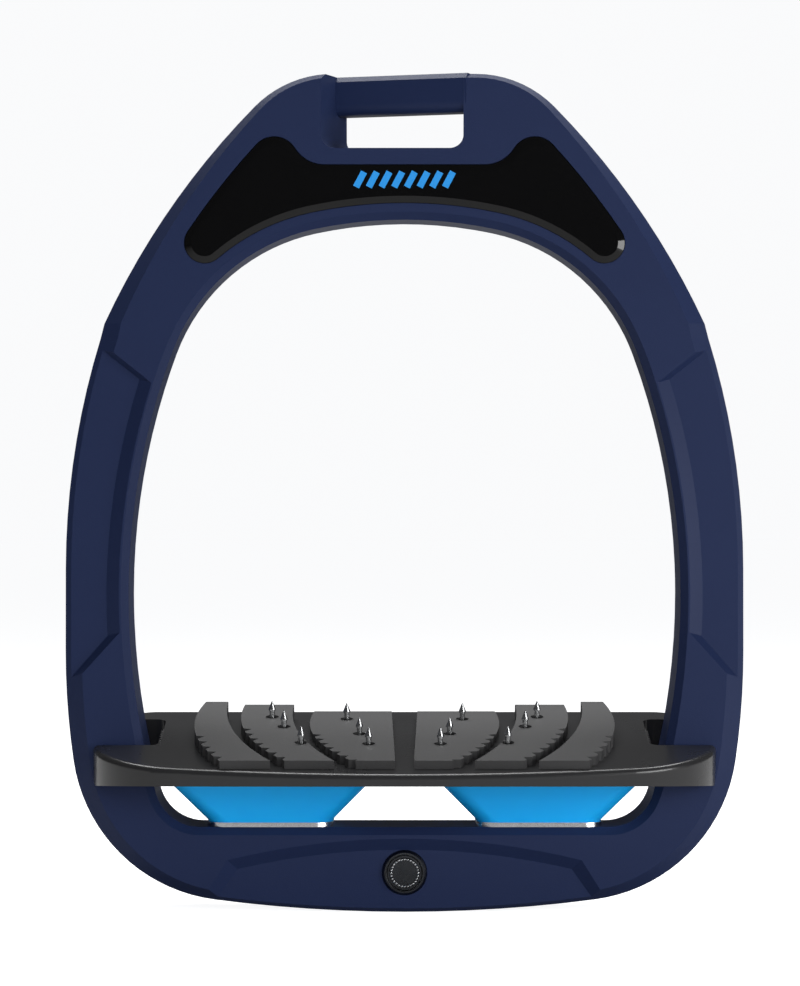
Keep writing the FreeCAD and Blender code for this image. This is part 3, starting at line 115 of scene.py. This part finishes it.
class Graph:
    """A thin wrapper that makes shader or geometry nodes and links them in one call."""

    def __init__(self, tree: bpy.types.NodeTree) -> None:
        """Wraps a node tree.

        Args:
            tree: the tree that nodes are added to.
        """
        self.tree = tree

    def node(self, kind: str, inputs: dict[str | int, object] | None = None,
             **settings: object) -> bpy.types.Node:
        """Adds a node.

        Args:
            kind: the node's class name.
            inputs: values or output sockets for its inputs, by name or index.
            settings: properties of the node itself.

        Returns:
            The new node.
        """
        made = self.tree.nodes.new(kind)
        for key, value in settings.items():
            setattr(made, key, value)
        for key, value in (inputs or {}).items():
            if isinstance(value, bpy.types.NodeSocket):
                self.tree.links.new(value, made.inputs[key])
            else:
                made.inputs[key].default_value = value
        return made

    def math(self, operation: str, *values: object) -> bpy.types.NodeSocket:
        """Adds a Math node.

        Args:
            operation: the node's operation.
            values: numbers or sockets.

        Returns:
            Its output socket.
        """
        return self.node("ShaderNodeMath", dict(enumerate(values)), operation=operation).outputs[0]

    def mix(self, factor: object, first: object, second: object) -> bpy.types.NodeSocket:
        """Mixes two colours.

        Args:
            factor: a number or socket.
            first: the colour at factor 0, as RGBA or a socket.
            second: the colour at factor 1.

        Returns:
            The colour socket.
        """
        mixer = self.node("ShaderNodeMix", {0: factor, 6: first, 7: second}, data_type="RGBA")
        return mixer.outputs[2]

    def blend(self, factor: object, low: object, high: object) -> bpy.types.NodeSocket:
        """Blends two numbers.

        Args:
            factor: a number or socket.
            low: the value at factor 0.
            high: the value at factor 1.

        Returns:
            The value socket.
        """
        return self.node("ShaderNodeMix", {0: factor, 2: low, 3: high}).outputs[0]


def rgba(colour: Colour) -> tuple[float, float, float, float]:
    """Adds full alpha to a colour.

    Args:
        colour: red, green and blue.

    Returns:
        The colour with an alpha of 1.
    """
    return (*colour, 1.0)


def new_material(name: str) -> tuple[bpy.types.Material, Graph, bpy.types.Node]:
    """Starts a material.

    Args:
        name: the material's name.

    Returns:
        The material, its graph and its surface shader.
    """
    material = bpy.data.materials.new(name)
    material.use_nodes = True
    return material, Graph(material.node_tree), material.node_tree.nodes["Principled BSDF"]


def make_group(name: str, inputs: Sequence[tuple[str, str, object]], outputs: Sequence[tuple[str, str]],
               build: Callable[[Graph, bpy.types.Node, bpy.types.Node], None]) -> bpy.types.NodeTree:
    """Makes a shader node group.

    Args:
        name: the group's name.
        inputs: name, socket type and default of each input.
        outputs: name and socket type of each output.
        build: fills the group, given its graph, input node and output node.

    Returns:
        The group's tree.
    """
    tree = bpy.data.node_groups.new(name, "ShaderNodeTree")
    for label, kind, default in inputs:
        socket = tree.interface.new_socket(label, in_out="INPUT", socket_type=kind)
        socket.default_value = default
    for label, kind in outputs:
        tree.interface.new_socket(label, in_out="OUTPUT", socket_type=kind)
    graph = Graph(tree)
    build(graph, graph.node("NodeGroupInput"), graph.node("NodeGroupOutput"))
    return tree


def build_grain(graph: Graph, given: bpy.types.Node, result: bpy.types.Node) -> None:
    """Moulding grain: a fine bump, and a slow drift of gloss over the part.

    Args:
        graph: the group's graph.
        given: the group's inputs.
        result: the group's outputs.
    """
    place = graph.node("ShaderNodeTexCoord").outputs["Object"]
    fine = graph.node("ShaderNodeTexNoise", {"Vector": place, "Scale": given.outputs["Scale"],
                                             "Detail": 3.0, "Roughness": 0.55})
    bump = graph.node("ShaderNodeBump", {"Strength": given.outputs["Strength"], "Distance": 0.0001,
                                         "Height": fine.outputs["Fac"]})
    drift = graph.node("ShaderNodeTexNoise", {"Vector": place, "Scale": 34.0, "Detail": 4.0,
                                              "Roughness": 0.6})
    graph.tree.links.new(bump.outputs["Normal"], result.inputs["Normal"])
    graph.tree.links.new(drift.outputs["Fac"], result.inputs["Drift"])


def build_turning(graph: Graph, given: bpy.types.Node, result: bpy.types.Node) -> None:
    """Lathe marks: rings stacked along the piece's own height, read from its Z coordinate.

    Args:
        graph: the group's graph.
        given: the group's inputs.
        result: the group's outputs.
    """
    place = graph.node("ShaderNodeTexCoord").outputs["Object"]
    split = graph.node("ShaderNodeSeparateXYZ", {0: place})
    wave = graph.math("SINE", graph.math("MULTIPLY", split.outputs["Z"], given.outputs["Pitch"]))
    soft = graph.node("ShaderNodeTexNoise", {"Vector": place, "Scale": 900.0, "Detail": 2.0})
    height = graph.math("ADD", wave, soft.outputs["Fac"])
    bump = graph.node("ShaderNodeBump", {"Strength": 0.12, "Distance": 0.00005, "Height": height})
    graph.tree.links.new(bump.outputs["Normal"], result.inputs["Normal"])
    graph.tree.links.new(soft.outputs["Fac"], result.inputs["Mask"])


@dataclass(frozen=True)
class Groups:
    """Shader groups that several finishes share.

    Attributes:
        grain: fine moulding grain.
        turning: lathe marks.
    """

    grain: bpy.types.NodeTree
    turning: bpy.types.NodeTree

    @classmethod
    def make(cls) -> "Groups":
        """Builds every group once."""
        number = "NodeSocketFloat"
        return cls(
            grain=make_group("MouldGrain", [("Scale", number, 2600.0), ("Strength", number, 0.25)],
                             [("Normal", "NodeSocketVector"), ("Drift", number)], build_grain),
            turning=make_group("Turning", [("Pitch", number, 60000.0)],
                               [("Normal", "NodeSocketVector"), ("Mask", number)], build_turning),
        )


# ---------------------------------------------------------------- finishes


@dataclass(frozen=True)
class Plastic:
    """A moulded plastic or rubber.

    Attributes:
        name: the material's name.
        colour: its base colour.
        shade: a second colour that drifts in over the part.
        roughness: lowest and highest roughness.
        grain_scale: size of the moulding grain, higher is finer.
        grain_strength: height of the grain.
        coat: clear gloss over the plastic.
        inside: how much light travels inside, as in an elastomer.
        specular: strength of the plain reflection.
    """

    name: str
    colour: Colour
    shade: Colour
    roughness: tuple[float, float]
    grain_scale: float = 2600.0
    grain_strength: float = 0.25
    coat: float = 0.0
    inside: float = 0.0
    specular: float = 0.5

    def make(self, groups: Groups) -> bpy.types.Material:
        """Builds the material.

        Args:
            groups: the shared shader groups.

        Returns:
            The finished material.
        """
        material, graph, surface = new_material(self.name)
        grain = graph.node("ShaderNodeGroup", node_tree=groups.grain)
        grain.inputs["Scale"].default_value = self.grain_scale
        grain.inputs["Strength"].default_value = self.grain_strength
        colour = graph.mix(grain.outputs["Drift"], rgba(self.colour), rgba(self.shade))
        rough = graph.blend(grain.outputs["Drift"], self.roughness[0], self.roughness[1])
        links = material.node_tree.links
        links.new(colour, surface.inputs["Base Color"])
        links.new(rough, surface.inputs["Roughness"])
        links.new(grain.outputs["Normal"], surface.inputs["Normal"])
        surface.inputs["Specular IOR Level"].default_value = self.specular
        surface.inputs["Coat Weight"].default_value = self.coat
        surface.inputs["Coat Roughness"].default_value = COAT_ROUGHNESS
        if self.inside:
            surface.inputs["Subsurface Weight"].default_value = self.inside
            surface.inputs["Subsurface Radius"].default_value = SCATTER_RADIUS
            surface.inputs["Subsurface Scale"].default_value = SCATTER_SCALE
        return material


@dataclass(frozen=True)
class Metal:
    """A bare or plated metal.

    Attributes:
        name: the material's name.
        colour: its base colour.
        roughness: lowest and highest roughness.
        pitch: spacing of the lathe marks, higher is finer.
    """

    name: str
    colour: Colour
    roughness: tuple[float, float]
    pitch: float = 60000.0

    def make(self, groups: Groups) -> bpy.types.Material:
        """Builds the material.

        Args:
            groups: the shared shader groups.

        Returns:
            The finished material.
        """
        material, graph, surface = new_material(self.name)
        turning = graph.node("ShaderNodeGroup", node_tree=groups.turning)
        turning.inputs["Pitch"].default_value = self.pitch
        worn = tuple(channel * 0.8 for channel in self.colour)
        links = material.node_tree.links
        colour = graph.mix(turning.outputs["Mask"], rgba(self.colour), rgba(worn))
        rough = graph.blend(turning.outputs["Mask"], *self.roughness)
        links.new(colour, surface.inputs["Base Color"])
        links.new(rough, surface.inputs["Roughness"])
        links.new(turning.outputs["Normal"], surface.inputs["Normal"])
        surface.inputs["Metallic"].default_value = 1.0
        return material


class Palette:
    """Every finish of the stirrup, made once."""

    def __init__(self) -> None:
        """Builds the shared groups and all materials."""
        groups = Groups.make()
        finishes = (
            Plastic("frame_composite", (0.0105, 0.0175, 0.053), (0.0125, 0.0205, 0.060),
                    (0.40, 0.46), specular=0.15),
            Plastic("gloss_inlay", (0.0015, 0.0015, 0.0017), (0.002, 0.002, 0.0022), (0.06, 0.10),
                    grain_scale=300.0, grain_strength=0.02, specular=0.35),
            Plastic("tread_gloss", (0.014, 0.014, 0.015), (0.018, 0.018, 0.019), (0.24, 0.32),
                    grain_scale=1200.0, grain_strength=0.05, coat=0.2, specular=0.35),
            Plastic("pad_matte", (0.022, 0.022, 0.023), (0.030, 0.030, 0.031), (0.55, 0.70),
                    grain_scale=1900.0, grain_strength=0.5),
            Plastic("elastomer", (0.007, 0.42, 1.0), (0.009, 0.45, 1.0), (0.42, 0.5),
                    grain_scale=1500.0, grain_strength=0.15, inside=0.25),
            Plastic("bumper_rubber", (0.008, 0.008, 0.009), (0.012, 0.012, 0.013), (0.5, 0.6)),
            Plastic("bush_plastic", (0.62, 0.60, 0.54), (0.66, 0.64, 0.58), (0.45, 0.55)),
            Metal("stud_steel", (0.62, 0.63, 0.64), (0.12, 0.2)),
            Metal("screw_steel", (0.30, 0.31, 0.32), (0.2, 0.32)),
            Metal("steel", (0.5, 0.5, 0.5), (0.25, 0.35)),
            Metal("seat_metal", (0.85, 0.86, 0.88), (0.15, 0.25)),
            Metal("badge_metal", (0.10, 0.105, 0.115), (0.22, 0.3)),
            Metal("magnet_metal", (0.5, 0.5, 0.51), (0.15, 0.2)),
            Metal("badge_bright", (0.72, 0.73, 0.75), (0.18, 0.26)),
            Plastic("motif_blue", (0.006, 0.22, 0.60), (0.008, 0.25, 0.66), (0.3, 0.36),
                    grain_strength=0.05),
            Metal("insert_brass", (0.62, 0.44, 0.17), (0.25, 0.35)),
        )
        self.materials = {finish.name: finish.make(groups) for finish in finishes}

    def __getitem__(self, name: str) -> bpy.types.Material:
        """Finds one material.

        Args:
            name: the finish's name, which for a CAD node is the record's slot name.

        Returns:
            The material.
        """
        return self.materials[name]


# ---------------------------------------------------------------- repeated details


class Row:
    """One shape repeated by geometry nodes, such as bars in a line or beads round a ring."""

    def __init__(self, name: str, inputs: Sequence[tuple[str, str, object]]) -> None:
        """Starts the node group.

        Args:
            name: the group's name.
            inputs: name, socket type and default of each input.
        """
        self.tree = bpy.data.node_groups.new(name, "GeometryNodeTree")
        for label, kind, default in inputs:
            socket = self.tree.interface.new_socket(label, in_out="INPUT", socket_type=kind)
            if default is not None:
                socket.default_value = default
        self.tree.interface.new_socket("Geometry", in_out="OUTPUT", socket_type="NodeSocketGeometry")
        self.graph = Graph(self.tree)
        self.given = self.graph.node("NodeGroupInput").outputs

    def close(self, points: bpy.types.NodeSocket, shape: bpy.types.NodeSocket, rotation: object) -> None:
        """Puts a shape on every point, then realizes and paints the result.

        Args:
            points: the geometry with one point for each copy.
            shape: the geometry that is repeated.
            rotation: the rotation of each copy, as a socket or three angles.
        """
        copies = self.graph.node("GeometryNodeInstanceOnPoints",
                                 {"Points": points, "Instance": shape, "Rotation": rotation})
        real = self.graph.node("GeometryNodeRealizeInstances", {0: copies.outputs[0]})
        painted = self.graph.node("GeometryNodeSetMaterial",
                                  {"Geometry": real.outputs[0], "Material": self.given["Material"]})
        self.graph.node("NodeGroupOutput", {0: painted.outputs[0]})

    def make(self, name: str, material: bpy.types.Material, place: Matrix) -> bpy.types.Object:
        """Evaluates the group once and keeps the mesh.

        Args:
            name: the new object's name.
            material: the finish of the piece.
            place: where the piece sits, baked into its vertices.

        Returns:
            The finished object, at the origin.
        """
        holder = bpy.data.objects.new(name, bpy.data.meshes.new(name))
        bpy.context.collection.objects.link(holder)
        modifier = holder.modifiers.new("row", "NODES")
        modifier.node_group = self.tree
        for item in self.tree.interface.items_tree:
            if item.in_out == "INPUT" and item.name == "Material":
                modifier[item.identifier] = material
        graph = bpy.context.evaluated_depsgraph_get()
        mesh = bpy.data.meshes.new_from_object(holder.evaluated_get(graph))
        holder.modifiers.clear()
        mesh.transform(place)
        holder.data = mesh
        return holder


def make_bars(count: int, pitch: float, size: tuple[float, float, float], slant: float) -> Row:
    """A row of slanted bars along X.

    Args:
        count: how many bars.
        pitch: their spacing.
        size: width, thickness and height of one bar.
        slant: how far each bar leans, in radians.

    Returns:
        The row's node group.
    """
    row = Row("SlantedBars", [("Count", "NodeSocketInt", count), ("Pitch", "NodeSocketFloat", pitch),
                              ("Bar", "NodeSocketVector", size), ("Slant", "NodeSocketFloat", slant),
                              ("Material", "NodeSocketMaterial", None)])
    graph, given = row.graph, row.given
    step = graph.node("ShaderNodeCombineXYZ", {"X": given["Pitch"]}).outputs[0]
    gaps = graph.math("SUBTRACT", given["Count"], 1.0)
    start = graph.math("MULTIPLY", graph.math("MULTIPLY", gaps, given["Pitch"]), -0.5)
    first = graph.node("ShaderNodeCombineXYZ", {"X": start}).outputs[0]
    line = graph.node("GeometryNodeMeshLine", {"Count": given["Count"], "Start Location": first,
                                               "Offset": step})
    bar = graph.node("GeometryNodeMeshCube", {"Size": given["Bar"]})
    turn = graph.node("ShaderNodeCombineXYZ", {"Y": given["Slant"]}).outputs[0]
    row.close(line.outputs["Mesh"], bar.outputs["Mesh"], turn)
    return row


def make_beads(count: int, radius: float, bead: float) -> Row:
    """Beads round a ring in the XY plane.

    Args:
        count: how many beads.
        radius: the ring's radius.
        bead: the radius of one bead.

    Returns:
        The ring's node group.
    """
    row = Row("BeadRing", [("Count", "NodeSocketInt", count), ("Radius", "NodeSocketFloat", radius),
                           ("Bead", "NodeSocketFloat", bead), ("Material", "NodeSocketMaterial", None)])
    graph, given = row.graph, row.given
    ring = graph.node("GeometryNodeMeshCircle", {"Vertices": given["Count"], "Radius": given["Radius"]})
    ball = graph.node("GeometryNodeMeshUVSphere", {"Segments": 12, "Rings": 8, "Radius": given["Bead"]})
    row.close(ring.outputs["Mesh"], ball.outputs["Mesh"], (0.0, 0.0, 0.0))
    return row


def front_of(node: str, x: float, z: float) -> float:
    """The Y of a CAD node's front surface.

    Args:
        node: the CAD node's name.
        x: where to look, across.
        z: where to look, up.

    Returns:
        The Y of the first surface met on the way back.
    """
    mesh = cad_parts[node].data
    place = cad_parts[node].matrix_world
    corners = [place @ vertex.co for vertex in mesh.vertices]
    tree = BVHTree.FromPolygons(corners, [face.vertices[:] for face in mesh.polygons])
    hit = tree.ray_cast(Vector((x, -1.0, z)), Vector((0.0, 1.0, 0.0)))[0]
    return hit.y


# ---------------------------------------------------------------- sub-assemblies


@dataclass
class Assembly:
    """CAD nodes that are dressed together.

    Attributes:
        body: the CAD body that its added pieces ride on.
        nodes: the CAD node names, each with its finish.
    """

    body: str
    nodes: dict[str, str] = field(default_factory=dict)

    def dress(self, palette: Palette) -> None:
        """Gives each node its finish.

        Args:
            palette: the finishes.
        """
        for name, finish in self.nodes.items():
            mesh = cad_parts[name].data
            mesh.materials.clear()
            mesh.materials.append(palette[finish])
        LOG.info("%s: %d nodes dressed", type(self).__name__, len(self.nodes))


class Housing(Assembly):
    """The moulded frame with its inlays, seat plates and elastomers."""

    def __init__(self) -> None:
        """Names the nodes and their finishes."""
        nodes = {"frame": "frame_composite", "badge_keeper": "steel",
                 "front_arch_panel": "gloss_inlay", "rear_arch_panel": "gloss_inlay"}
        for side in Side:
            nodes[f"seat_plate_{side.word}"] = "seat_metal"
            nodes[f"elastomer_{side.word}"] = "elastomer"
            nodes[f"guide_bush_{side.word}"] = "bush_plastic"
        super().__init__("frame", nodes)

    def dress(self, palette: Palette) -> None:
        """Gives each node its finish and lays the motif on the front inlay.

        Args:
            palette: the finishes.
        """
        super().dress(palette)
        low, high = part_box("front_arch_panel")
        middle = low[2] + MOTIF_RISE * (high[2] - low[2])
        reach = MM
        below, above = (front_of("front_arch_panel", 0.0, middle + step) for step in (-reach, reach))
        lean = math.atan2(above - below, 2 * reach)
        place = Matrix.Translation((0.0, (below + above) / 2, middle)) @ Matrix.Rotation(-lean, 4, "X")
        row = make_bars(MOTIF_BARS, MOTIF_PITCH, MOTIF_BAR, MOTIF_SLANT)
        motif = row.make("arch_motif", palette["motif_blue"], place)
        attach(motif, self.body)
        for side in Side:
            self.soften(f"elastomer_{side.word}")

    def soften(self, node: str) -> None:
        """Stands a soft block in for a CAD block.

        Args:
            node: the CAD block's name.
        """
        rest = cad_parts[node]
        block = bpy.data.objects.new(f"{node}_soft", rest.data.copy())
        block.data.transform(rest.matrix_world)
        bpy.context.collection.objects.link(block)
        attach(block, self.body)
        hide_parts(node)
        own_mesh(block)


class Tread(Assembly):
    """The sprung tread with its pads, studs, screws and bumpers."""

    def __init__(self) -> None:
        """Names the nodes and their finishes."""
        nodes = {"tread_plate": "tread_gloss"}
        for side in Side:
            for pad in ("outer", "middle", "inner"):
                nodes[f"grip_pad_{pad}_{side.word}"] = "pad_matte"
            nodes[f"tread_screw_{side.word}"] = "screw_steel"
            nodes[f"screw_washer_{side.word}"] = "steel"
            nodes[f"tread_insert_{side.word}"] = "insert_brass"
            nodes[f"leg_bumper_{side.word}"] = "bumper_rubber"
        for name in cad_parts:
            if name.startswith("stud_"):
                nodes[name] = "stud_steel"
        super().__init__("tread", nodes)


class Badge(Assembly):
    """The magnetic badge in the bottom bar."""

    def __init__(self) -> None:
        """Names the nodes and their finishes."""
        super().__init__("badge", {"badge_cap": "badge_metal", "badge_magnet": "magnet_metal"})

    def dress(self, palette: Palette) -> None:
        """Gives each node its finish and sets a beaded ring into the cap's face.

        Args:
            palette: the finishes.
        """
        super().dress(palette)
        low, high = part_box("badge_cap")
        middle, radius = (low[2] + high[2]) / 2, (high[2] - low[2]) / 2
        ring = RING_SHARE * radius
        front = front_of("badge_cap", 0.0, middle + ring)
        place = Matrix.Translation((0.0, front, middle)) @ Matrix.Rotation(math.radians(90), 4, "X")
        beads = make_beads(RING_BEADS, ring, RING_BEAD).make("badge_ring", palette["badge_bright"], place)
        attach(beads, self.body)


# ---------------------------------------------------------------- studio


@dataclass(frozen=True)
class Softbox:
    """A rectangular light.

    Attributes:
        name: the light's name.
        place: its position in metres.
        target: the point it faces.
        size: its width and height in metres.
        power: its power in watts.
        mirrored: whether glossy surfaces show its reflection.
        colour: its colour.
    """

    name: str
    place: tuple[float, float, float]
    target: tuple[float, float, float]
    size: tuple[float, float]
    power: float
    mirrored: bool = True
    colour: Colour = (1.0, 1.0, 1.0)

    def make(self) -> None:
        """Adds the light to the scene."""
        data = bpy.data.lights.new(self.name, "AREA")
        data.shape = "RECTANGLE"
        data.size, data.size_y = self.size
        data.energy, data.color = self.power, self.colour
        lamp = bpy.data.objects.new(self.name, data)
        lamp.location = self.place
        aim = Vector(self.target) - Vector(self.place)
        lamp.rotation_euler = aim.to_track_quat("-Z", "Y").to_euler()
        lamp.visible_glossy = self.mirrored
        bpy.context.collection.objects.link(lamp)


@dataclass(frozen=True)
class Studio:
    """Floor, backdrop, light and camera.

    Attributes:
        camera_distance: from the front lens to the frame's middle plane, in metres.
        camera_height: height of the lens over the frame's lowest point.
        lens: focal length in millimetres on a 36 mm sensor.
        shift: lens shift across and up.
        backdrop: brightness of the world as the camera sees it.
        surround: brightness of the world as the object sees it.
        floor_glow: brightness added to the floor for the camera.
    """

    camera_distance: float = 0.835
    camera_height: float = 0.0965
    lens: float = 132.0
    shift: tuple[float, float] = (-0.0046, -0.0030)
    backdrop: float = 0.97
    surround: float = 0.08
    floor_glow: float = 0.93

    def build(self) -> None:
        """Builds the studio round the object."""
        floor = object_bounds()[0].z
        self.add_floor(floor)
        self.add_world()
        self.add_lights(floor)
        self.add_camera(floor)

    def add_floor(self, height: float) -> None:
        """A plain pale floor.

        Args:
            height: the floor's Z.
        """
        mesh = bpy.data.meshes.new("studio_floor")
        corners = ((-1, -1), (1, -1), (1, 1), (-1, 1))
        points = [(x * FLOOR_REACH, y * FLOOR_REACH, height) for x, y in corners]
        mesh.from_pydata(points, [], [(0, 1, 2, 3)])
        floor = bpy.data.objects.new("studio_floor", mesh)
        bpy.context.collection.objects.link(floor)
        material, graph, surface = new_material("studio_floor")
        place = graph.node("ShaderNodeTexCoord").outputs["Object"]
        cloud = graph.node("ShaderNodeTexNoise", {"Vector": place, "Scale": 1.5, "Detail": 1.0})
        colour = graph.mix(cloud.outputs["Fac"], rgba((0.50, 0.50, 0.50)), rgba((0.52, 0.52, 0.52)))
        material.node_tree.links.new(colour, surface.inputs["Base Color"])
        surface.inputs["Roughness"].default_value = 0.9
        surface.inputs["Specular IOR Level"].default_value = 0.0
        seen = graph.node("ShaderNodeLightPath").outputs["Is Camera Ray"]
        glow = graph.math("MULTIPLY", seen, self.floor_glow)
        surface.inputs["Emission Color"].default_value = rgba((0.985, 0.99, 1.0))
        material.node_tree.links.new(glow, surface.inputs["Emission Strength"])
        mesh.materials.append(material)
        floor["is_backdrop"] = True

    def add_world(self) -> None:
        """A bright, even backdrop for the camera, and a dim surround for the object."""
        world = bpy.data.worlds.new("studio_world")
        world.use_nodes = True
        bpy.context.scene.world = world
        background = world.node_tree.nodes["Background"]
        background.inputs["Color"].default_value = rgba((0.985, 0.99, 1.0))
        graph = Graph(world.node_tree)
        seen = graph.node("ShaderNodeLightPath").outputs["Is Camera Ray"]
        strength = graph.blend(seen, self.surround, self.backdrop)
        world.node_tree.links.new(strength, background.inputs["Strength"])

    def add_lights(self, floor: float) -> None:
        """Soft light from the lower right front, and a strip over the tread.

        Args:
            floor: the floor's Z.
        """
        middle = (0.0, 0.0, floor + 0.09)
        for box in (
            Softbox("key_right", (0.62, -0.50, floor + 0.05), middle, (0.5, 0.5), 7.0),
            Softbox("front_fill", (0.05, -1.30, floor + 0.30), middle, (0.8, 0.6), 9.0, mirrored=False),
            Softbox("top_strip", (0.0, 0.20, floor + 0.75), middle, (0.9, 0.35), 10.0),
        ):
            box.make()

    def add_camera(self, floor: float) -> None:
        """A long lens, level, in front of the stirrup.

        Args:
            floor: the floor's Z.
        """
        data = bpy.data.cameras.new("camera")
        data.lens, data.sensor_width = self.lens, SENSOR_WIDTH
        data.shift_x, data.shift_y = self.shift
        camera = bpy.data.objects.new("camera", data)
        camera.location = (0.0, -self.camera_distance, floor + self.camera_height)
        camera.rotation_euler = (math.radians(90), 0.0, 0.0)
        bpy.context.collection.objects.link(camera)
        bpy.context.scene.camera = camera


def set_colour_management() -> None:
    """Plain display colours, so that finishes show as they are set."""
    bpy.context.scene.view_settings.view_transform = "Standard"
    bpy.context.scene.view_settings.look = "None"


def main() -> None:
    """Dresses the stirrup and builds the studio."""
    logging.basicConfig(level=logging.INFO)
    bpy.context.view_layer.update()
    palette = Palette()
    for assembly in (Housing(), Tread(), Badge()):
        assembly.dress(palette)
    Studio().build()
    set_colour_management()


if __name__ == "__main__":
    main()
